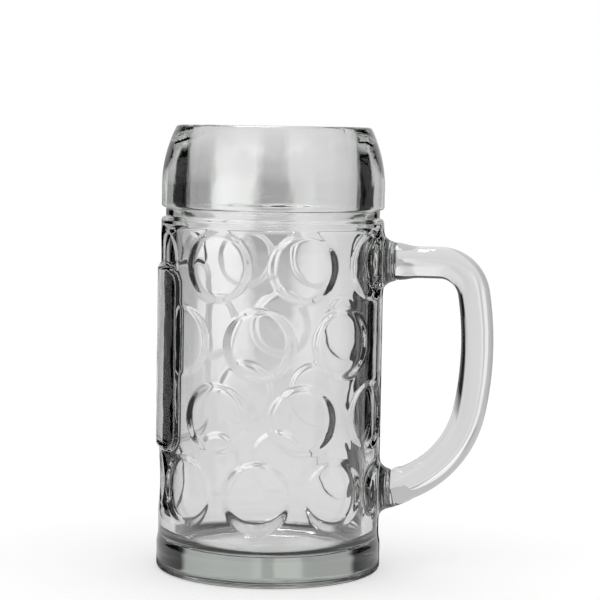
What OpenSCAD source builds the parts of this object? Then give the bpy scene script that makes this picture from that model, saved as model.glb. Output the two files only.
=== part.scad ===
// Dimpled glass beer mug, one litre, with an applied handle.
// The origin is the centre of the standing face, +Z is up and the handle points along +X.
// All lengths are millimetres and all angles are degrees.

/* [Mug body] */
// Height from the standing face to the lip
mug_h = 205.5; // [200:0.5:211]
// Diameter of the wall between the dimples
wall_d = 103.2; // [101:0.2:106]
// Thickness of the wall between the dimples
wall_t = 7.1; // [6:0.1:10]
// Thickness of the solid glass bottom
floor_t = 11; // [9:0.5:16]
// Radius of the bore where it runs into the bottom
bore_corner_r = 9; // [5:0.5:14]

/* [Rim band] */
// Height of the smooth drinking band below the lip
band_h = 37.8; // [34:0.2:41]
// Radius of the arc that draws the band in towards the lip
band_arc_r = 62; // [55:1:90]
// Height of the straight lower part of the band
band_straight_h = 9.5; // [6:0.5:14]
// Radius at the lower edge of the band
band_edge_r = 1.2; // [0.8:0.1:1.6]
// Radius over the outside of the lip
lip_outer_r = 2.2; // [1.6:0.1:2.5]
// Radius over the inside of the lip
lip_inner_r = 1.6; // [1:0.1:1.8]
// Depth of the groove under the band
neck_depth = 2; // [1.4:0.1:2.4]
// Height of the groove under the band, with the round that runs out to the wall
neck_h = 6; // [4.5:0.5:7]
// Thickness of the glass at the lower part of the band
band_t = 11; // [9:0.1:13]
// Height over which the bore narrows from the wall to the band
throat_h = 12; // [9:0.5:16]
// How far the throat reaches up past the lower edge of the band
throat_rise = 1.3; // [0:0.1:4]

/* [Foot] */
// How far the foot ring stands proud of the wall
foot_proud = 0.7; // [0.4:0.1:1.2]
// Height of the foot ring
foot_h = 12.5; // [10:0.5:14]
// Height of the slope from the foot ring back to the wall
foot_slope_h = 3; // [2:0.5:4]
// Radius at the lower edge of the foot ring
foot_edge_r = 2; // [1:0.5:3]
// Width of the ring that the mug stands on
standing_w = 4; // [3:0.5:6]
// Depth of the hollow under the bottom
hollow_depth = 1.6; // [1:0.1:2.5]

/* [Dimples] */
// Diameter of a dimple, measured on the wall
dimple_d = 32; // [30:0.5:33.5]
// Depth of the level middle of a dimple
dimple_depth = 1.2; // [0.8:0.1:1.8]
// Depth that the dimple's edge would reach at the middle if it ran on
dish_depth = 5; // [4:0.2:6]
// Height of the lowest row's middle
first_row_z = 41; // [39:0.5:44]
// Distance between the rows
row_pitch = 34; // [33:0.5:35]

/* [Plain panel] */
// Width of the raised plain panel opposite the handle
panel_w = 74; // [60:1:78]
// Height of the panel
panel_h = 86; // [72:1:90]
// Height of the panel's middle
panel_z = 99; // [95:0.5:103]
// How far the panel stands proud of the wall
panel_proud = 1.5; // [1:0.1:2]
// Radius of the panel's corners
panel_corner_r = 9; // [5:0.5:14]

/* [Handle] */
// Height of the straight upper arm's centre line
upper_arm_z = 144; // [138:0.5:148]
// Length of the straight upper arm
upper_arm_len = 20.6; // [17:0.2:25]
// Radius of the bend at the top of the grip
top_bend_r = 16.2; // [13:0.2:18]
// Angle of the bend at the top of the grip
top_bend_angle = 80.5; // [77:0.5:84]
// Radius of the long curve of the grip
grip_r = 150; // [135:1:165]
// Angle of the long curve of the grip
grip_angle = 21.2; // [19.6:0.2:23]
// Radius of the bend that leads back to the body
low_bend_r = 47.5; // [42:0.5:52]
// Angle of the bend that leads back to the body
low_bend_angle = 55.3; // [52:0.1:58]
// Thickness of the handle in its own plane, at the top
handle_t_top = 14.6; // [13:0.1:16]
// Thickness of the handle in its own plane, at the bottom
handle_t_low = 15.6; // [13:0.1:16.4]
// Width of the handle across its plane
handle_w = 17; // [14:0.5:18]
// Length over which the ends of the handle grow round towards the body
root_len = 9; // [5:0.5:10]

/* [Handle seats] */
// How far the faces that the handle is fused to stand proud of the wall
seat_proud = 5.4; // [4.4:0.1:6.4]
// Radius of the seats at the handle
seat_r = 9.2; // [9:0.1:10.5]
// Radius of the seats where they flow out of the wall
seat_root_r = 17; // [14:0.5:19]
// Length of the flare from the wall to the seat's face
seat_flare_len = 6.5; // [5.5:0.5:7.5]

/* [Hidden] */

// Segments of a full circle and of the dimple cutters' long radius, steps in a small arc and in the throat
$fn = 96;
cutter_fn = 360;
arc_steps = 6;
throat_steps = 10;
// How far cuts run past the surface they cut
overrun = 4;

wall_r = wall_d / 2;
bore_r = wall_r - wall_t;
mouth_r = wall_r - band_t;
foot_r = wall_r + foot_proud;
panel_r = wall_r + panel_proud;
seat_x = wall_r + seat_proud;

// Heights and radii of the band and the groove
band_z = mug_h - band_h;
band_arc_z = band_z + band_straight_h;
neck_r = wall_r - neck_depth;
shoulder_z = band_z - neck_h;
neck_z = shoulder_z + neck_depth;

// Circle over the lip, which the band's arc runs into
lip_z = mug_h - lip_outer_r;
band_arc_c = [wall_r - band_arc_r, band_arc_z];
band_angle = asin((lip_z - band_arc_z) / (band_arc_r - lip_outer_r));
lip_c = band_arc_c + (band_arc_r - lip_outer_r) * [cos(band_angle), sin(band_angle)];

// Radius of the hollow under the bottom, and the width of its sloping edge
hollow_r = foot_r - foot_edge_r - standing_w;
hollow_slope = 2 * hollow_depth;

// A row of dimples: angle from the handle to the first, angle to the next,
// number on each side, and number opposite the handle
low_row_angles = [49, 41.5, 3, 1];
third_row_angles = [22.5, 45, 3, 0];
second_row_angles = [45, 45, 3, 0];
top_row_angles = [22.5, 45, 4, 0];
rows = [low_row_angles, third_row_angles, second_row_angles, top_row_angles];

// Sections along the bends and arms of the handle, and points round each section
bend_steps = 12;
arm_steps = 5;
ring_points = 40;
// Fullness of the handle's oval section, of which 2 is an ellipse and more is squarer
oval_power = 2.6;
round_power = 2;
// How far the fused end of the handle lies inside the edge of its seat
root_inset = 0.3;
// How far a seat widens from the flare to the bore
seat_spread = 3;

function sag(r, a) = r - sqrt(r * r - a * a);

function radius_of(a, depth) = (a * a + depth * depth) / (2 * depth);

function arc(c, r, from, to) =
    [for (i = [0:arc_steps]) c + r * [for (f = [0, 90]) cos(from + (to - from) * i / arc_steps - f)]];

// The band's barrel shape, from its straight part up to the circle over the lip
function band_arc() = arc(band_arc_c, band_arc_r, 0, band_angle);

module upright_wall() {
    outline = concat(
        [[0, foot_h - overrun], [wall_r, foot_h - overrun], [wall_r, shoulder_z]],
        arc([neck_r, shoulder_z], neck_depth, 0, 90),
        [[neck_r, neck_z], [neck_r, band_z]],
        arc([wall_r - band_edge_r, band_z + band_edge_r], band_edge_r, -90, 0),
        band_arc(),
        arc(lip_c, lip_outer_r, band_angle, 90),
        [[0, mug_h]]);
    rotate_extrude() polygon(outline);
}

module foot() {
    outline = concat(
        [[0, hollow_depth], [hollow_r - hollow_slope, hollow_depth], [hollow_r, 0]],
        arc([foot_r - foot_edge_r, foot_edge_r], foot_edge_r, -90, 0),
        [[foot_r, foot_h], [foot_r - 2 * foot_proud, foot_h + 2 * foot_slope_h], [0, foot_h + 2 * foot_slope_h]]);
    rotate_extrude() polygon(outline);
}

// A cutter that leaves a dimple as wide as it is tall on the round wall
module dimple_cutter() {
    tall_r = radius_of(dimple_d / 2, dish_depth);
    long_r = radius_of(dimple_d / 2, dish_depth - sag(wall_r, dimple_d / 2));
    turn = 2 * asin(dimple_d / long_r);
    translate([wall_r - dish_depth + long_r, 0, 0])
        rotate([0, 0, 180 - turn / 2])
        rotate_extrude(angle = turn, $fn = cutter_fn)
        translate([long_r - tall_r, 0])
        intersection() {
            circle(r = tall_r);
            translate([0, -tall_r]) square([tall_r, 2 * tall_r]);
        }
}

// Copies of the children at a row's places, alike on both sides of the handle's plane
module at_row(row, z) {
    for (side = [-1, 1], i = [0:row[2] - 1])
        rotate([0, 0, side * (row[0] + row[1] * i)]) translate([0, 0, z]) children();
    if (row[3] == 1)
        rotate([0, 0, 180]) translate([0, 0, z]) children();
}

// The wall with its dimples, whose level middles are the core's own round
module dimpled_wall() {
    difference() {
        upright_wall();
        for (i = [0:len(rows) - 1])
            at_row(rows[i], first_row_z + row_pitch * i) dimple_cutter();
    }
    translate([0, 0, foot_h - overrun])
        cylinder(r = wall_r - dimple_depth, h = shoulder_z - foot_h + overrun);
}

module rounded_rectangle(w, h, r) {
    square([w - 2 * r, h], center = true);
    square([w, h - 2 * r], center = true);
    for (x = [-1, 1], y = [-1, 1])
        translate([x * (w / 2 - r), y * (h / 2 - r)]) circle(r = r);
}

// Raised panel opposite the handle, which follows the round of the wall
module panel() {
    intersection() {
        translate([0, 0, panel_z - panel_h]) cylinder(r = panel_r, h = 2 * panel_h);
        translate([0, 0, panel_z])
            rotate([90, 0, -90])
            linear_extrude(height = panel_r + overrun)
            rounded_rectangle(panel_w, panel_h, panel_corner_r);
    }
}

// Flared seat on the wall, ending in a flat face that the handle is fused to
module seat(z) {
    flare = [for (i = [0:arc_steps])
        [seat_root_r - (seat_root_r - seat_r) * sin(90 * i / arc_steps),
         seat_x - seat_flare_len * cos(90 * i / arc_steps)]];
    outline = concat([[0, bore_r], [seat_root_r + seat_spread, bore_r]], flare, [[0, seat_x]]);
    translate([0, 0, z]) rotate([0, 90, 0]) rotate_extrude() polygon(outline);
}

// Smooth step from the bore of the wall in to the narrower mouth
function throat() =
    [for (i = [0:throat_steps])
        [bore_r + (mouth_r - bore_r) * (1 - cos(180 * i / throat_steps)) / 2,
         band_z + throat_rise - throat_h * (1 - i / throat_steps)]];

module bore() {
    outline = concat(
        [[0, mug_h + overrun], [0, floor_t]],
        arc([bore_r - bore_corner_r, floor_t + bore_corner_r], bore_corner_r, -90, 0),
        throat(),
        arc([mouth_r + lip_inner_r, mug_h - lip_inner_r], lip_inner_r, 180, 90),
        [[mouth_r + lip_inner_r, mug_h + overrun]]);
    rotate_extrude() polygon(outline);
}

// One station on the handle's centre line is [x, z, heading], turning clockwise by the headings
function bend(start, r, turn) =
    [for (i = [1:bend_steps])
        let (h = start[2] - turn * i / bend_steps)
        [start[0] + r * (sin(start[2]) - sin(h)), start[1] + r * (cos(h) - cos(start[2])), h]];

function last(list) = list[len(list) - 1];

upper_arm = [for (i = [0:arm_steps]) [seat_x + upper_arm_len * i / arm_steps, upper_arm_z, 0]];
top_bend = bend(last(upper_arm), top_bend_r, top_bend_angle);
grip = bend(last(top_bend), grip_r, grip_angle);
low_bend = bend(last(grip), low_bend_r, low_bend_angle);
low_start = last(low_bend);
// The sections of the lower arm turn until the last one lies in the seat's upright face
low_arm = [for (i = [1:arm_steps])
    [low_start[0] + (seat_x - low_start[0]) * i / arm_steps,
     low_start[1] + (seat_x - low_start[0]) * tan(low_start[2]) * i / arm_steps,
     low_start[2] + (-180 - low_start[2]) * i / arm_steps]];
low_seat_z = last(low_arm)[1];
stations = concat(upper_arm, top_bend, grip, low_bend, low_arm);

// Share of the way from the plain section to the round end, near either seat
function root_share(s) = max(0, 1 - (s[0] - seat_x) / root_len) * (s[2] == 0 || s[2] < low_start[2] ? 1 : 0);

function power_of(v, p) = sign(v) * pow(abs(v), 2 / p);

// Points round the handle at station i
function ring(i) =
    let (s = stations[i])
    let (along = i / (len(stations) - 1))
    let (k = pow(root_share(s), 2))
    let (end_r = seat_r - root_inset)
    let (half_t = (handle_t_top + (handle_t_low - handle_t_top) * along) / 2)
    let (a = half_t + (end_r - half_t) * k)
    let (b = handle_w / 2 + (end_r - handle_w / 2) * k)
    let (p = oval_power + (round_power - oval_power) * k)
    [for (j = [0:ring_points - 1])
        let (t = 360 * j / ring_points)
        let (u = a * power_of(cos(t), p))
        [s[0] - u * sin(s[2]), b * power_of(sin(t), p), s[1] + u * cos(s[2])]];

function side_face(i, j) =
    let (a = i * ring_points + j)
    let (b = i * ring_points + (j + 1) % ring_points)
    [[a, b, b + ring_points], [a, b + ring_points, a + ring_points]];

module swept_handle() {
    count = len(stations);
    points = [for (i = [0:count - 1]) each ring(i)];
    sides = [for (i = [0:count - 2], j = [0:ring_points - 1]) each side_face(i, j)];
    first_end = [for (j = [0:ring_points - 1]) ring_points - 1 - j];
    last_end = [for (j = [0:ring_points - 1]) (count - 1) * ring_points + j];
    polyhedron(points = points, faces = concat(sides, [first_end, last_end]));
}

module mug_body() {
    color([0.86, 0.89, 0.9, 0.6])
    difference() {
        union() {
            dimpled_wall();
            foot();
            panel();
            seat(upper_arm_z);
            seat(low_seat_z);
        }
        bore();
    }
}

module handle() {
    color([0.82, 0.85, 0.86, 0.7]) swept_handle();
}

mug_body();
handle();
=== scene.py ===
import math

import bmesh
import bpy
import numpy as np
from mathutils import Matrix, Vector


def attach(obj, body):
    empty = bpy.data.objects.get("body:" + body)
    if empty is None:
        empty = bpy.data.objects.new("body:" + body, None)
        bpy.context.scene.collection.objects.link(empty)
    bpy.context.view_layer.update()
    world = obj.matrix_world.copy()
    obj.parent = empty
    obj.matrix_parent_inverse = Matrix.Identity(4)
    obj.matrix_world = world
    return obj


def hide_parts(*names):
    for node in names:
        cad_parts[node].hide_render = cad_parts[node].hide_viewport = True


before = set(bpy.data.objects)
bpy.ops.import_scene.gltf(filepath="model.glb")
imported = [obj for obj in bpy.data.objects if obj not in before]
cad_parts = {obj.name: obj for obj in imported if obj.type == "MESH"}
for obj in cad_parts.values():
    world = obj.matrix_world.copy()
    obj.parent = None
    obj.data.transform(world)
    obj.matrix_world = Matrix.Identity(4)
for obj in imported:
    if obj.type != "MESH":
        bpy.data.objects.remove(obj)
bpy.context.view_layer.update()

# Camera. It stands level with the lip, a little to the handle's side of square on,
# and looks slightly down, as the photograph does. Its distances are in metres.
CAMERA_TURN = math.radians(6.0)
CAMERA_DISTANCE = 0.940
CAMERA_HEIGHT = 0.204
CAMERA_PITCH = math.radians(4.8)
CAMERA_YAW = math.radians(-0.8)
CAMERA_ROLL = math.radians(0.95)
PICTURE_PX = 600
FOCAL_PX = 2029
SENSOR_MM = 36
CLIP_START = 0.01

to_camera = Vector((math.sin(CAMERA_TURN), -math.cos(CAMERA_TURN), 0))
ahead = Matrix.Rotation(CAMERA_YAW, 3, "Z") @ -to_camera
level_right = ahead.cross(Vector((0, 0, 1))).normalized()
look = ahead * math.cos(CAMERA_PITCH) - Vector((0, 0, math.sin(CAMERA_PITCH)))
level_up = level_right.cross(look)
picture_right = level_right * math.cos(CAMERA_ROLL) + level_up * math.sin(CAMERA_ROLL)
picture_up = level_up * math.cos(CAMERA_ROLL) - level_right * math.sin(CAMERA_ROLL)

camera = bpy.data.objects.new("camera", bpy.data.cameras.new("camera"))
camera.data.sensor_width = SENSOR_MM
camera.data.lens = SENSOR_MM * FOCAL_PX / PICTURE_PX
camera.data.clip_start = CLIP_START
camera.matrix_world = Matrix.Translation(to_camera * CAMERA_DISTANCE + Vector((0, 0, CAMERA_HEIGHT))) @ (
    Matrix((picture_right, picture_up, -look)).transposed().to_4x4())
bpy.context.scene.collection.objects.link(camera)
bpy.context.scene.camera = camera
bpy.context.scene.view_settings.view_transform = "Standard"


# Studio. A white floor and a white surround for the camera. The glass itself sees light and dark
# upright bands all round, three plain cards close beside it and a softbox overhead, which draw the
# lines, greys and small lights in it.
def linear_colour(hex_code):
    """Linear colour of an sRGB hex value, with an alpha of 1."""
    shares = [int(hex_code[i:i + 2], 16) / 255 for i in (0, 2, 4)]
    return [s / 12.92 if s <= 0.04045 else ((s + 0.055) / 1.055) ** 2.4 for s in shares] + [1.0]


def add_node(tree, kind, settings=None, links=None):
    """A new node with its settings and links. What feeds an input is a socket or a plain value."""
    node = tree.nodes.new(kind)
    for name, value in (settings or {}).items():
        if isinstance(name, int) or name in node.inputs:
            node.inputs[name].default_value = value
        else:
            setattr(node, name, value)
    for name, source in (links or {}).items():
        if isinstance(source, bpy.types.NodeSocket):
            tree.links.new(source, node.inputs[name])
        else:
            node.inputs[name].default_value = source
    return node


def grey(level):
    """Colour of a plain light of this brightness."""
    return [level, level, level, 1.0]


def new_material(name):
    """An empty node material and its tree."""
    material = bpy.data.materials.new(name)
    material.use_nodes = True
    material.node_tree.nodes.clear()
    return material, material.node_tree


def mesh_object(name, points, faces, materials):
    """A mesh object at the origin, with its points given in metres."""
    mesh = bpy.data.meshes.new(name)
    mesh.from_pydata([tuple(p) for p in points], [], faces)
    for material in materials:
        mesh.materials.append(material)
    made = bpy.data.objects.new(name, mesh)
    bpy.context.scene.collection.objects.link(made)
    return made


# Brightness of the surround by the angle from straight behind the glass, in degrees to the left.
# The far bands stand round the level line, the calm ones above it and on the floor, and the near
# ones on the floor round the mug.
DARK = 0.004
REAR_LIGHT = 0.15
SIDE_LIGHT = 0.6
FAR_BANDS = ((-180, REAR_LIGHT), (-140, REAR_LIGHT), (-130, SIDE_LIGHT), (-85, SIDE_LIGHT),
             (-75, DARK), (-33, DARK), (-30, 0.70), (-25, 0.74), (-7, 0.74), (-6, 0.86), (-4, 0.86),
             (-2.4, 0.80), (-1.8, 0.47), (2, 0.47), (2.6, 1.08), (9, 1.12), (11, 0.90), (13, 0.41),
             (30, 0.41), (33, DARK), (75, DARK),
             (85, SIDE_LIGHT), (130, SIDE_LIGHT), (140, REAR_LIGHT), (180, REAR_LIGHT))
CALM_BANDS = ((-180, REAR_LIGHT), (-140, REAR_LIGHT), (-130, SIDE_LIGHT), (-85, SIDE_LIGHT),
              (-75, DARK), (-39, DARK), (-35, 0.66), (-20, 0.79), (-6, 0.82), (-5, 0.93), (-2.2, 0.93),
              (-1.6, 0.69), (2, 0.69), (2.6, 0.96), (11, 0.96), (13, 0.64), (35, 0.60),
              (39, DARK), (75, DARK),
              (85, SIDE_LIGHT), (130, SIDE_LIGHT), (140, REAR_LIGHT), (180, REAR_LIGHT))
NEAR_BANDS = ((-180, SIDE_LIGHT), (-100, SIDE_LIGHT), (-75, DARK), (-39, DARK), (-35, 0.74),
              (35, 0.77), (39, DARK), (75, DARK), (100, SIDE_LIGHT), (180, SIDE_LIGHT))
HALF_TURN = 180
# Between which steepnesses of a ray, as a share of straight up, the surround turns calm, then light,
# and dark overhead for the rays inside the glass
CALM_SHARES = (0.02, 0.08)
TOP_LIGHT_SHARES = (0.42, 0.60)
OVERHEAD_SHARES = (0.50, 0.55)
TOP_LIGHT = 1.1
# Light goes through four or more faces of the glass, and turns back inside it
BOUNCES = 9
# Places of a Mix node's sockets for colours
MIX_SHARE, MIX_FIRST, MIX_SECOND, MIX_RESULT = 0, 6, 7, 2


def banded_surround(tree, way, stops):
    """Colour of the bands in the level direction of a vector."""
    axes = add_node(tree, "ShaderNodeSeparateXYZ", links={"Vector": way})
    turn = add_node(tree, "ShaderNodeMath", {"operation": "ARCTAN2"},
                    {0: axes.outputs["Y"], 1: axes.outputs["X"]})
    off = add_node(tree, "ShaderNodeMath", {"operation": "SUBTRACT"},
                   {0: turn.outputs[0], 1: CAMERA_TURN + math.pi / 2})
    fold = add_node(tree, "ShaderNodeMath", {"operation": "WRAP"},
                    {0: off.outputs[0], 1: math.pi, 2: -math.pi})
    share = add_node(tree, "ShaderNodeMapRange", {"From Min": -math.pi, "From Max": math.pi},
                     {"Value": fold.outputs[0]})
    bands = add_node(tree, "ShaderNodeValToRGB", links={"Fac": share.outputs["Result"]})
    while len(bands.color_ramp.elements) < len(stops):
        bands.color_ramp.elements.new(1.0)
    for stop, (angle, level) in zip(bands.color_ramp.elements, stops):
        stop.position = (angle + HALF_TURN) / (2 * HALF_TURN)
        stop.color = grey(level)
    return bands.outputs["Color"]


def turned(tree, value, limits, first, second):
    """Colour that turns from the first to the second while a value goes from one limit to the other."""
    low, high = limits
    share = add_node(tree, "ShaderNodeMapRange", {"From Min": low, "From Max": high}, {"Value": value})
    mix = add_node(tree, "ShaderNodeMix", {"data_type": "RGBA"},
                   {MIX_SHARE: share.outputs["Result"], MIX_FIRST: first, MIX_SECOND: second})
    return mix.outputs[MIX_RESULT]


world = bpy.data.worlds.new("studio")
bpy.context.scene.world = world
world.use_nodes = True
tree = world.node_tree
tree.nodes.clear()
way = add_node(tree, "ShaderNodeTexCoord").outputs["Generated"]
steepness = add_node(tree, "ShaderNodeSeparateXYZ", links={"Vector": way}).outputs["Z"]
rays = add_node(tree, "ShaderNodeLightPath").outputs
around = turned(tree, steepness, CALM_SHARES,
                banded_surround(tree, way, FAR_BANDS), banded_surround(tree, way, CALM_BANDS))
lit = turned(tree, steepness, TOP_LIGHT_SHARES, around, grey(TOP_LIGHT))
overhead = add_node(tree, "ShaderNodeMapRange",
                    {"From Min": OVERHEAD_SHARES[0], "From Max": OVERHEAD_SHARES[1]},
                    {"Value": steepness})
through_glass = add_node(tree, "ShaderNodeMath", {"operation": "MULTIPLY"},
                         {0: overhead.outputs["Result"], 1: rays["Is Transmission Ray"]})
topped = add_node(tree, "ShaderNodeMix", {"data_type": "RGBA"},
                  {MIX_SHARE: through_glass.outputs[0], MIX_FIRST: lit, MIX_SECOND: grey(DARK)})
seen = add_node(tree, "ShaderNodeMix", {"data_type": "RGBA"},
                {MIX_SHARE: rays["Is Camera Ray"], MIX_FIRST: topped.outputs[MIX_RESULT],
                 MIX_SECOND: linear_colour("ffffff")})
surround = add_node(tree, "ShaderNodeBackground", {"Strength": 1.0}, {"Color": seen.outputs[MIX_RESULT]})
add_node(tree, "ShaderNodeOutputWorld", links={"Surface": surround.outputs["Background"]})
for name in ("max_bounces", "transmission_bounces", "glossy_bounces", "transparent_max_bounces"):
    setattr(bpy.context.scene.cycles, name, BOUNCES)

# Floor. Matt white background paper that keeps the mug's shadow. The glass sees bands in it too,
# which turn from the near ones to the calm and the far ones with the distance, and a painted shadow near
# the foot.
FLOOR_HALF = 6.0
FLOOR_LIFT = 0.32
NEAR_REACH = (0.55, 0.95)
CALM_REACH = (0.9, 3.4)
# Painted shadow of the mug on the floor as the glass sees it. Each ring has the distances in metres over
# which it fades out, and its level: an even grey near the mug, nearly black under and round the standing
# edge, and a grey of painted shade under the hollow
NEAR_GREY_AND_FOOT_SHADOW = (((0.30, 0.46), 0.77), ((0.056, 0.064), 0.04), ((0.030, 0.042), 0.6))
# Uncoated paper has no gloss, and the lift makes it plain white round its soft shadow
floor_paper, tree = new_material("matt white background paper")
paper = add_node(tree, "ShaderNodeBsdfDiffuse", {"Color": linear_colour("e7e7e7")})
lift = add_node(tree, "ShaderNodeEmission", {"Color": linear_colour("ffffff"), "Strength": FLOOR_LIFT})
white = add_node(tree, "ShaderNodeAddShader", links={0: paper.outputs["BSDF"], 1: lift.outputs["Emission"]})
place = add_node(tree, "ShaderNodeTexCoord").outputs["Object"]
away = add_node(tree, "ShaderNodeVectorMath", {"operation": "LENGTH"}, {0: place}).outputs["Value"]
colour = turned(tree, away, NEAR_REACH,
                banded_surround(tree, place, NEAR_BANDS), banded_surround(tree, place, CALM_BANDS))
colour = turned(tree, away, CALM_REACH, colour, banded_surround(tree, place, FAR_BANDS))
# The glass sees a painted shadow on the floor round the foot
for limits, level in NEAR_GREY_AND_FOOT_SHADOW:
    colour = turned(tree, away, limits, grey(level), colour)
in_glass = add_node(tree, "ShaderNodeEmission", links={"Color": colour})
rays = add_node(tree, "ShaderNodeLightPath").outputs
either = add_node(tree, "ShaderNodeMixShader",
                  links={0: rays["Is Camera Ray"], 1: in_glass.outputs["Emission"],
                         2: white.outputs["Shader"]})
add_node(tree, "ShaderNodeOutputMaterial", links={"Surface": either.outputs["Shader"]})
floor = mesh_object(
    "floor",
    [(x * FLOOR_HALF, y * FLOOR_HALF, 0) for x, y in ((-1, -1), (1, -1), (1, 1), (-1, 1))],
    [(0, 1, 2, 3)],
    [floor_paper])

# Softbox. A lit white cloth hangs high over the mug and a little to the left of it,
# and draws the small white lights on the handle and the edges.
SOFTBOX_AT = (-0.15, 0.10, 1.0)
SOFTBOX_HALF = (0.20, 0.30)
SOFTBOX_LEVEL = 8.0


def seen_by_glass_only(made):
    """Keeps a light or a card out of the picture and of the floor's light and shade."""
    made.visible_camera = False
    made.visible_diffuse = False
    made.visible_shadow = False


softbox_cloth, tree = new_material("softbox cloth, lit")
cloth = add_node(tree, "ShaderNodeEmission", {"Color": linear_colour("ffffff"), "Strength": SOFTBOX_LEVEL})
add_node(tree, "ShaderNodeOutputMaterial", links={"Surface": cloth.outputs["Emission"]})
softbox = mesh_object(
    "softbox",
    [(SOFTBOX_AT[0] + x * SOFTBOX_HALF[0], SOFTBOX_AT[1] + y * SOFTBOX_HALF[1], SOFTBOX_AT[2])
     for x, y in ((-1, -1), (-1, 1), (1, 1), (1, -1))],
    [(0, 1, 2, 3)],
    [softbox_cloth])
seen_by_glass_only(softbox)

# Cards. Plain upright cards close beside the glass, below its band, draw its dark sides. The two
# on the right stand back to back, black towards the wall and grey towards the handle.
CARD_HEIGHT = 0.158
# name, place of its start and end, height of its lower edge, and brightness
CARDS = (("left", (-0.0601, -0.0214), (-0.0633, 0.0094), 0.020, 0.0),
         ("right", (0.0561, 0.0130), (0.0528, 0.0950), 0.0, 0.0),
         ("right_back", (0.0562, 0.0130), (0.0529, 0.0950), 0.0, 0.56))
for name, start, end, low, level in CARDS:
    card_felt, tree = new_material("flock card, " + name)
    flock = add_node(tree, "ShaderNodeEmission", {"Color": grey(level)})
    add_node(tree, "ShaderNodeOutputMaterial", links={"Surface": flock.outputs["Emission"]})
    card = mesh_object(
        "card_" + name,
        [(*start, low), (*end, low), (*end, CARD_HEIGHT), (*start, CARD_HEIGHT)],
        [(0, 1, 2, 3)],
        [card_felt])
    seen_by_glass_only(card)


# Mug body. One thick vessel of clear soda-lime glass, pressed in a mould and fire-polished,
# with the band, dimples, panel, foot ring and the two handle seats all in the same piece.
# Its sizes are in millimetres.
MM = 0.001
MUG_H = 205.5
WALL_R = 51.6
MOUTH_R = 40.6
BORE_R = 44.5
THROAT_H = 12.0
THROAT_RISE = 1.3
FLOOR_T = 11.0
BORE_CORNER_R = 9.0
BAND_H = 37.8
BAND_ARC_R = 62.0
BAND_STRAIGHT_H = 9.5
BAND_EDGE_R = 1.2
LIP_OUTER_R = 2.2
LIP_INNER_R = 1.6
NECK_DEPTH = 2.0
NECK_H = 6.0
NECK_EDGE_R = 0.5
FOOT_PROUD = 0.7
FOOT_H = 12.5
FOOT_SLOPE_H = 3.0
FOOT_EDGE_R = 2.0
STANDING_W = 4.0
HOLLOW_DEPTH = 1.6
DIMPLE_D = 32.0
DIMPLE_DEPTH = 1.2
DISH_DEPTH = 5.0
FIRST_ROW_Z = 41.0
ROW_PITCH = 34.0
PANEL_W = 74.0
PANEL_H = 86.0
PANEL_Z = 99.0
PANEL_PROUD = 1.5
PANEL_CORNER_R = 9.0
SEAT_X = 57.0
SEAT_R = 9.2
SEAT_ROOT_R = 17.0
SEAT_FLARE = 6.5
UPPER_SEAT_Z = 144.0
# angle to the first dimple, angle to the next, number on each side, number opposite the handle
LOW_ROW = (49, 41.5, 3, 1)
THIRD_ROW = (22.5, 45, 3, 0)
SECOND_ROW = (45, 45, 3, 0)
TOP_ROW = (22.5, 45, 4, 0)
# How softly the dimples, the panel, the seats and the foot run into the wall
DIMPLE_SOFT = 0.7
PANEL_SOFT = 2.2
SEAT_SOFT = 1.2
FOOT_SOFT = 0.5
# Fineness of the mesh: columns round it, height of a row on the wall and how far the rows run on
# into the neck, and the rings between the axis and the edges of the hollow and of the floor
COLUMNS = 320
WALL_STEP = 0.95
NECK_OVERLAP = 0.1
THROAT_ROWS = 20
HOLLOW_RINGS = (12, 26, 38)
FLOOR_RINGS = (22, 10)
# Directions in the mug's profile, in degrees
DOWN, OUT, UP, IN = -90, 0, 90, 180
FOOT_ARC_END = -10

foot_r = WALL_R + FOOT_PROUD
panel_r = WALL_R + PANEL_PROUD
band_z = MUG_H - BAND_H
neck_r = WALL_R - NECK_DEPTH
shoulder_z = band_z - NECK_H
neck_z = shoulder_z + NECK_DEPTH
throat_z = band_z + THROAT_RISE


def soft_min(a, b, k):
    """Smaller of two lengths, rounded where they cross."""
    h = np.clip(0.5 + 0.5 * (b - a) / k, 0, 1)
    return b * (1 - h) + a * h - k * h * (1 - h)


def soft_max(a, b, k):
    return -soft_min(-a, -b, k)


def eased(share):
    """Share that starts and ends gently."""
    return share * share * (3 - 2 * share)


def turns_of(row):
    """Angles of a row's dimples from the handle, in radians."""
    first, pitch, each_side, opposite = row
    sides = [side * (first + pitch * i) for side in (-1, 1) for i in range(each_side)]
    return [math.radians(turn) for turn in sides + [HALF_TURN] * opposite]


def dimple_depth(theta, z, turn, middle_z):
    """Depth of a dimple below the wall: level in its middle, with a dished edge all round."""
    delta = (theta - turn + math.pi) % (2 * math.pi) - math.pi
    rho = np.hypot(WALL_R * delta, z - middle_z)
    dish = soft_min(DISH_DEPTH * (1 - (2 * rho / DIMPLE_D) ** 2), DIMPLE_DEPTH, DIMPLE_SOFT)
    # soft_max lifts the edge by a quarter of its softness, which is taken off again
    return np.maximum(soft_max(dish, 0, DIMPLE_SOFT) - DIMPLE_SOFT / 4 * np.exp(-dish ** 2), 0)


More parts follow.
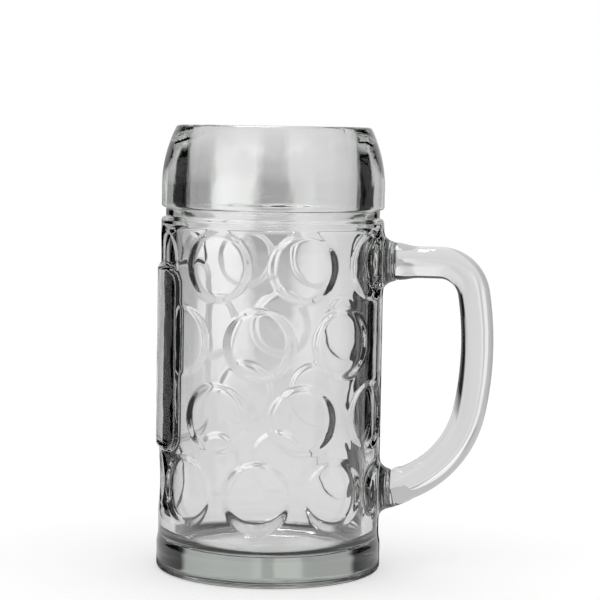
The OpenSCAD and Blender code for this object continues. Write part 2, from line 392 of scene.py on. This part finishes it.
def wall_radius(theta, z):
    """Distance from the mug's axis to the outer face of the wall."""
    drop = np.clip((z - shoulder_z) / NECK_DEPTH, 0, 1)
    r = WALL_R - NECK_DEPTH * (1 - np.sqrt(1 - drop ** 2))
    for i, row in enumerate((LOW_ROW, THIRD_ROW, SECOND_ROW, TOP_ROW)):
        for turn in turns_of(row):
            r = r - dimple_depth(theta, z, turn, FIRST_ROW_Z + ROW_PITCH * i)
    foot = np.where(z <= FOOT_H, foot_r, foot_r - (z - FOOT_H) * FOOT_PROUD / FOOT_SLOPE_H)
    r = soft_max(r, foot, FOOT_SOFT)
    across = panel_r * np.sin(theta)
    qx = np.abs(across) - (PANEL_W / 2 - PANEL_CORNER_R)
    qz = np.abs(z - PANEL_Z) - (PANEL_H / 2 - PANEL_CORNER_R)
    past_corner = np.hypot(np.maximum(qx, 0), np.maximum(qz, 0))
    edge = past_corner + np.minimum(np.maximum(qx, qz), 0) - PANEL_CORNER_R
    share = eased(np.clip(-edge / PANEL_SOFT, 0, 1)) * (np.cos(theta) < 0)
    return r + np.maximum(panel_r - r, 0) * share


# The lower seat's height, where the handle's lower arm reaches it. About each seat a square block
# of the even grid is drawn round: the block's half side, and the shares of it that the flat face and
# the flare take and within which it is round.
LOW_SEAT_Z = 38.2
SEAT_REACH = 19.5
FACE_SHARE = 0.36
FLARE_SHARE = 0.90
ROUND_SHARE = 0.5
NO_LENGTH = 1e-9


def seat_grid(u, v):
    """Places about a seat's axis that a square block of the even grid is moved to, round near the seat."""
    s = np.maximum(np.abs(u), np.abs(v)) / SEAT_REACH
    t = np.clip((s - FACE_SHARE) / (FLARE_SHARE - FACE_SHARE), 0, 1)
    flare = SEAT_ROOT_R - (SEAT_ROOT_R - SEAT_R) * np.cos(t * math.pi / 2)
    face = SEAT_R * s / FACE_SHARE
    outer = SEAT_ROOT_R + (SEAT_REACH - SEAT_ROOT_R) * (s - FLARE_SHARE) / (1 - FLARE_SHARE)
    round_r = np.where(s < FACE_SHARE, face, np.where(s < FLARE_SHARE, flare, outer))
    square = eased(np.clip((s - ROUND_SHARE) / (1 - ROUND_SHARE), 0, 1))
    scale = (1 - square) * round_r / np.maximum(np.hypot(u, v), NO_LENGTH) + square
    return u * scale, v * scale


def seat_height(rho):
    """Distance of a seat's surface from the mug's axis, along the seat's own axis."""
    c = np.clip((SEAT_ROOT_R - rho) / (SEAT_ROOT_R - SEAT_R), 0, 1)
    flare = SEAT_X - SEAT_FLARE * np.sqrt(1 - c ** 2)
    return np.where(rho < SEAT_ROOT_R, flare, SEAT_X - SEAT_FLARE - 2 * (rho - SEAT_ROOT_R))


def with_seats(theta, z):
    """Points of the wall's outer face, drawn out where a seat carries the handle."""
    theta = np.array(theta)
    z = np.array(z)
    r = wall_radius(theta, z)
    x, y = r * np.cos(theta), r * np.sin(theta)
    z_out = z.copy()
    for seat_z in (UPPER_SEAT_Z, LOW_SEAT_Z):
        near = (np.abs(y) < SEAT_REACH) & (np.abs(z - seat_z) < SEAT_REACH) & (x > 0)
        y_new, up = seat_grid(y[near], z[near] - seat_z)
        z_new = seat_z + up
        turn = np.arcsin(np.clip(y_new / WALL_R, -1, 1))
        wall_x = np.sqrt(wall_radius(turn, z_new) ** 2 - y_new ** 2)
        x[near] = np.minimum(soft_max(wall_x, seat_height(np.hypot(y_new, up)), SEAT_SOFT), SEAT_X)
        y[near] = y_new
        z_out[near] = z_new
    return np.stack([x, y, z_out], axis=-1)


def arc(cx, cz, r, start, end, steps):
    """Points of an arc in the mug's profile, as [radius, height]."""
    return [[cx + r * math.cos(math.radians(start + (end - start) * i / steps)),
             cz + r * math.sin(math.radians(start + (end - start) * i / steps))] for i in range(steps + 1)]


def straight(start, end, steps):
    """Points from start to end, without start."""
    return [[start[0] + (end[0] - start[0]) * i / steps, start[1] + (end[1] - start[1]) * i / steps]
            for i in range(1, steps + 1)]


lip_z = MUG_H - LIP_OUTER_R
arc_z = band_z + BAND_STRAIGHT_H
band_turn = math.degrees(math.asin((lip_z - arc_z) / (BAND_ARC_R - LIP_OUTER_R)))
lip_x = WALL_R - BAND_ARC_R + (BAND_ARC_R - LIP_OUTER_R) * math.cos(math.radians(band_turn))
hollow_r = foot_r - FOOT_EDGE_R - STANDING_W

under = [[r, HOLLOW_DEPTH] for r in HOLLOW_RINGS]
under += straight([hollow_r - 2 * HOLLOW_DEPTH, HOLLOW_DEPTH], [hollow_r, 0.0], steps=5)
under += arc(foot_r - FOOT_EDGE_R, FOOT_EDGE_R, FOOT_EDGE_R, DOWN, FOOT_ARC_END, steps=6)
wall_top = neck_z + NECK_OVERLAP
wall_rows = int((neck_z - FOOT_EDGE_R) / WALL_STEP)
wall = [FOOT_EDGE_R + (wall_top - FOOT_EDGE_R) * i / wall_rows for i in range(wall_rows + 1)]
above = straight([neck_r, wall_top], [neck_r, band_z - NECK_EDGE_R], steps=4)
above += arc(neck_r + NECK_EDGE_R, band_z - NECK_EDGE_R, NECK_EDGE_R, IN, UP, steps=4)
above += arc(WALL_R - BAND_EDGE_R, band_z + BAND_EDGE_R, BAND_EDGE_R, DOWN, OUT, steps=6)
above += straight([WALL_R, band_z + BAND_EDGE_R], [WALL_R, arc_z], steps=6)
above += arc(WALL_R - BAND_ARC_R, arc_z, BAND_ARC_R, OUT, band_turn, steps=24)[1:]
above += arc(lip_x, lip_z, LIP_OUTER_R, band_turn, UP, steps=8)[1:]
above += arc(MOUTH_R + LIP_INNER_R, MUG_H - LIP_INNER_R, LIP_INNER_R, UP, IN, steps=8)
above += straight([MOUTH_R, MUG_H - LIP_INNER_R], [MOUTH_R, throat_z], steps=8)
above += [[MOUTH_R + (BORE_R - MOUTH_R) * (1 - math.cos(math.pi * i / THROAT_ROWS)) / 2,
           throat_z - THROAT_H * i / THROAT_ROWS] for i in range(1, THROAT_ROWS)]
above += straight([BORE_R, throat_z - THROAT_H], [BORE_R, FLOOR_T + BORE_CORNER_R], steps=14)
above += arc(BORE_R - BORE_CORNER_R, FLOOR_T + BORE_CORNER_R, BORE_CORNER_R, OUT, DOWN, steps=10)[1:]
above += [[r, FLOOR_T] for r in FLOOR_RINGS]

angles = np.linspace(0, 2 * math.pi, COLUMNS, endpoint=False)
points = [[0, 0, HOLLOW_DEPTH]]
for r, z in under:
    points += [[r * math.cos(t), r * math.sin(t), z] for t in angles]
wall_theta, wall_z = np.meshgrid(angles, wall)
points += with_seats(wall_theta.ravel(), wall_z.ravel()).tolist()
for r, z in above:
    points += [[r * math.cos(t), r * math.sin(t), z] for t in angles]
points.append([0, 0, FLOOR_T])
row_count = len(under) + len(wall) + len(above)
faces = [(0, 1 + (j + 1) % COLUMNS, 1 + j) for j in range(COLUMNS)]
for i in range(row_count - 1):
    a, b = 1 + i * COLUMNS, 1 + (i + 1) * COLUMNS
    faces += [(a + j, a + (j + 1) % COLUMNS, b + (j + 1) % COLUMNS, b + j) for j in range(COLUMNS)]
last = 1 + (row_count - 1) * COLUMNS
faces += [(last + j, last + (j + 1) % COLUMNS, last + COLUMNS) for j in range(COLUMNS)]

# Pressed soda-lime glass: clear, faintly grey in the thick parts, with slow waves left by the mould,
# about six of them on the height of the dimpled wall.
WAVES = 6
WAVES_SPAN = 125.0
WAVE_HEIGHT = 0.5
WAVE_STRENGTH = 0.4
GLASS_IOR = 1.52
GLASS_TINT = "f3f4f3"
TINT_DENSITY = 68.0
pressed_glass, tree = new_material("pressed soda-lime glass, fire-polished")
place = add_node(tree, "ShaderNodeTexCoord")
waves = add_node(tree, "ShaderNodeTexNoise",
                 {"Scale": WAVES / (WAVES_SPAN * MM), "Detail": 2.5, "Roughness": 0.5},
                 {"Vector": place.outputs["Object"]})
bump = add_node(tree, "ShaderNodeBump", {"Strength": WAVE_STRENGTH, "Distance": WAVE_HEIGHT * MM},
                {"Height": waves.outputs["Fac"]})
glass = add_node(tree, "ShaderNodeBsdfPrincipled",
                 {"Base Color": linear_colour("ffffff"), "Roughness": 0.0, "IOR": GLASS_IOR,
                  "Transmission Weight": 1.0},
                 {"Normal": bump.outputs["Normal"]})
grey_tint = add_node(tree, "ShaderNodeVolumeAbsorption",
                     {"Color": linear_colour(GLASS_TINT), "Density": TINT_DENSITY})
add_node(tree, "ShaderNodeOutputMaterial",
         links={"Surface": glass.outputs["BSDF"], "Volume": grey_tint.outputs["Volume"]})

# Where the body and the handle are fused the glass runs on, so nothing shows there.
fused_glass, tree = new_material("fused joint inside the glass")
clear = add_node(tree, "ShaderNodeBsdfTransparent")
add_node(tree, "ShaderNodeOutputMaterial", links={"Surface": clear.outputs["BSDF"]})

FLAT_WITHIN = 1e-6
mug_body = mesh_object("pressed_mug_body", np.array(points) * MM, faces, [pressed_glass, fused_glass])
mesh = mug_body.data
for polygon in mesh.polygons:
    polygon.use_smooth = True
    if all(abs(mesh.vertices[v].co.x - SEAT_X * MM) < FLAT_WITHIN for v in polygon.vertices):
        polygon.material_index = 1
mesh.validate()
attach(mug_body, "root")
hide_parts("mug_body")

# Handle. A solid D-shaped bar of the same glass with an oval section, made by itself
# and fused hot to the two seats of the body. Geometry Nodes draw the section along the bar's path.
UPPER_ARM_LEN = 20.6
UPPER_ARM_STEPS = 16
LOWER_ARM_STEPS = 8
# radius and angle of the bends from the upper arm down
HANDLE_BENDS = ((16.2, 80.5), (150.0, 21.2), (47.5, 55.3))
HANDLE_T_TOP = 14.6
HANDLE_T_LOW = 15.6
HANDLE_W = 17.0
ROOT_LEN = 11.0
END_R = 8.9
# Power of the section's curve: 2 is an ellipse, and more is fuller at its corners
OVAL_POWER = 2.6
ROUND_POWER = 2.0
STATION_STEP = 1.2
RING_POINTS = 64

# Places along the bar, each with the angle at which the bar points there
stations = [(SEAT_X + UPPER_ARM_LEN * i / UPPER_ARM_STEPS, UPPER_SEAT_Z, 0.0)
            for i in range(UPPER_ARM_STEPS + 1)]
for bend_r, bend_angle in HANDLE_BENDS:
    x0, z0, h0 = stations[-1]
    steps = round(bend_r * math.radians(bend_angle) / STATION_STEP)
    for i in range(1, steps + 1):
        h = h0 - math.radians(bend_angle) * i / steps
        x = x0 + bend_r * (math.sin(h0) - math.sin(h))
        z = z0 + bend_r * (math.cos(h) - math.cos(h0))
        stations.append((x, z, h))
x0, z0, h0 = stations[-1]
for i in range(1, LOWER_ARM_STEPS + 1):
    gone = i / LOWER_ARM_STEPS
    x = x0 + (SEAT_X - x0) * gone
    stations.append((x, z0 + (x - x0) * math.tan(h0), h0 + (-math.pi - h0) * gone))

path = bpy.data.meshes.new("handle path")
last = len(stations) - 1
path.from_pydata([(x * MM, 0, z * MM) for x, z, _ in stations], [(i, i + 1) for i in range(last)], [])
on_arm = [1.0 if i <= UPPER_ARM_STEPS or i > last - LOWER_ARM_STEPS else 0.0 for i in range(last + 1)]
for name, values in (("turn", [h for _, _, h in stations]),
                     ("along", [i / last for i in range(last + 1)]),
                     ("arm", on_arm)):
    path.attributes.new(name, "FLOAT", "POINT").data.foreach_set("value", values)
handle = bpy.data.objects.new("pressed_handle", path)
bpy.context.scene.collection.objects.link(handle)

HANDLE_SIZES = (("Seat Distance", SEAT_X * MM), ("Thickness Above", HANDLE_T_TOP * MM),
                ("Thickness Below", HANDLE_T_LOW * MM), ("Width", HANDLE_W * MM),
                ("End Radius", END_R * MM), ("Root Length", ROOT_LEN * MM), ("Oval Power", OVAL_POWER))
bar = bpy.data.node_groups.new("oval bar along its path", "GeometryNodeTree")
bar.interface.new_socket("Geometry", in_out="INPUT", socket_type="NodeSocketGeometry")
for name, _ in HANDLE_SIZES:
    bar.interface.new_socket(name, in_out="INPUT", socket_type="NodeSocketFloat")
bar.interface.new_socket("Points Round", in_out="INPUT", socket_type="NodeSocketInt")
bar.interface.new_socket("Geometry", in_out="OUTPUT", socket_type="NodeSocketGeometry")


def blend(tree, share, first, second):
    """Number that runs from the first to the second with the share."""
    gap = add_node(tree, "ShaderNodeMath", {"operation": "SUBTRACT"}, {0: second, 1: first})
    blended = add_node(tree, "ShaderNodeMath", {"operation": "MULTIPLY_ADD"},
                       {0: gap.outputs[0], 1: share, 2: first})
    return blended.outputs[0]


size = add_node(bar, "NodeGroupInput").outputs
turn, along, arm = [add_node(bar, "GeometryNodeInputNamedAttribute", {"data_type": "FLOAT", "Name": name})
                    .outputs["Attribute"] for name in ("turn", "along", "arm")]
here = add_node(bar, "GeometryNodeInputPosition").outputs["Position"]
line = add_node(bar, "GeometryNodeMeshToCurve", links={"Mesh": size["Geometry"]})
line_place = add_node(bar, "GeometryNodeCaptureAttribute", links={"Geometry": line.outputs["Curve"]})
line_place.capture_items.new("VECTOR", "Middle")
bar.links.new(here, line_place.inputs["Middle"])
round_line = add_node(bar, "GeometryNodeCurvePrimitiveCircle", {"Radius": 1.0},
                      {"Resolution": size["Points Round"]})
round_place = add_node(bar, "GeometryNodeCaptureAttribute", links={"Geometry": round_line.outputs["Curve"]})
round_place.capture_items.new("VECTOR", "Round")
bar.links.new(here, round_place.inputs["Round"])
swept = add_node(bar, "GeometryNodeCurveToMesh", {"Fill Caps": True},
                 {"Curve": line_place.outputs["Geometry"],
                  "Profile Curve": round_place.outputs["Geometry"]})

# Near each seat the oval turns round and grows to the seat's own radius
middle = add_node(bar, "ShaderNodeSeparateXYZ", links={"Vector": line_place.outputs["Middle"]}).outputs
reach = add_node(bar, "ShaderNodeMath", {"operation": "SUBTRACT"},
                 {0: middle["X"], 1: size["Seat Distance"]})
near_seat = add_node(bar, "ShaderNodeMapRange",
                     {"interpolation_type": "SMOOTHSTEP", "To Min": 1.0, "To Max": 0.0},
                     {"Value": reach.outputs[0], "From Max": size["Root Length"]})
root = add_node(bar, "ShaderNodeMath", {"operation": "MULTIPLY"},
                {0: near_seat.outputs["Result"], 1: arm}).outputs[0]
power = blend(bar, root, size["Oval Power"], ROUND_POWER)
exponent = add_node(bar, "ShaderNodeMath", {"operation": "DIVIDE"}, {0: ROUND_POWER, 1: power})
thickness = blend(bar, along, size["Thickness Above"], size["Thickness Below"])
unit = add_node(bar, "ShaderNodeSeparateXYZ", links={"Vector": round_place.outputs["Round"]}).outputs
offsets = []
for axis, whole in (("X", thickness), ("Y", size["Width"])):
    half = add_node(bar, "ShaderNodeMath", {"operation": "MULTIPLY"}, {0: whole, 1: 0.5})
    half = blend(bar, root, half.outputs[0], size["End Radius"])
    part = add_node(bar, "ShaderNodeMath", {"operation": "ABSOLUTE"}, {0: unit[axis]})
    side = add_node(bar, "ShaderNodeMath", {"operation": "SIGN"}, {0: unit[axis]})
    bulge = add_node(bar, "ShaderNodeMath", {"operation": "POWER"},
                     {0: part.outputs[0], 1: exponent.outputs[0]})
    signed = add_node(bar, "ShaderNodeMath", {"operation": "MULTIPLY"},
                      {0: bulge.outputs[0], 1: side.outputs[0]})
    offset = add_node(bar, "ShaderNodeMath", {"operation": "MULTIPLY"}, {0: signed.outputs[0], 1: half})
    offsets.append(offset.outputs[0])
across, sideways = offsets
sine = add_node(bar, "ShaderNodeMath", {"operation": "SINE"}, {0: turn})
cosine = add_node(bar, "ShaderNodeMath", {"operation": "COSINE"}, {0: turn})
lean = add_node(bar, "ShaderNodeMath", {"operation": "MULTIPLY"}, {0: sine.outputs[0], 1: across})
outward = add_node(bar, "ShaderNodeMath", {"operation": "SUBTRACT"}, {0: middle["X"], 1: lean.outputs[0]})
upward = add_node(bar, "ShaderNodeMath", {"operation": "MULTIPLY_ADD"},
                  {0: cosine.outputs[0], 1: across, 2: middle["Z"]})
place = add_node(bar, "ShaderNodeCombineXYZ",
                 links={"X": outward.outputs[0], "Y": sideways, "Z": upward.outputs[0]})
shaped = add_node(bar, "GeometryNodeSetPosition",
                  links={"Geometry": swept.outputs["Mesh"], "Position": place.outputs["Vector"]})

# The two flat ends are the faces with more than four corners
corners = add_node(bar, "GeometryNodeInputMeshFaceNeighbors").outputs["Vertex Count"]
flat_end = add_node(bar, "ShaderNodeMath", {"operation": "GREATER_THAN"}, {0: corners, 1: 4.5}).outputs[0]
rounded = add_node(bar, "ShaderNodeMath", {"operation": "SUBTRACT"}, {0: 1.0, 1: flat_end}).outputs[0]
smooth = add_node(bar, "GeometryNodeSetShadeSmooth",
                  links={"Geometry": shaped.outputs["Geometry"], "Shade Smooth": rounded})
real = add_node(bar, "GeometryNodeRealizeInstances", links={"Geometry": smooth.outputs["Geometry"]})
glassy = add_node(bar, "GeometryNodeSetMaterial", {"Material": pressed_glass},
                  {"Geometry": real.outputs["Geometry"]})
ended = add_node(bar, "GeometryNodeSetMaterial", {"Material": fused_glass},
                 {"Geometry": glassy.outputs["Geometry"], "Selection": flat_end})
add_node(bar, "NodeGroupOutput", links={"Geometry": ended.outputs["Geometry"]})

drawn = handle.modifiers.new("oval bar", "NODES")
drawn.node_group = bar
inputs = {item.name: item.identifier for item in bar.interface.items_tree if item.in_out == "INPUT"}
for name, value in HANDLE_SIZES + (("Points Round", RING_POINTS),):
    drawn[inputs[name]] = value
mesh = bpy.data.meshes.new_from_object(handle.evaluated_get(bpy.context.evaluated_depsgraph_get()))
handle.modifiers.remove(drawn)
handle.data = mesh
for name in ("turn", "along", "arm"):
    mesh.attributes.remove(mesh.attributes[name])
bm = bmesh.new()
bm.from_mesh(mesh)
bmesh.ops.recalc_face_normals(bm, faces=bm.faces)
bm.to_mesh(mesh)
bm.free()
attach(handle, "root")
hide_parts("handle")
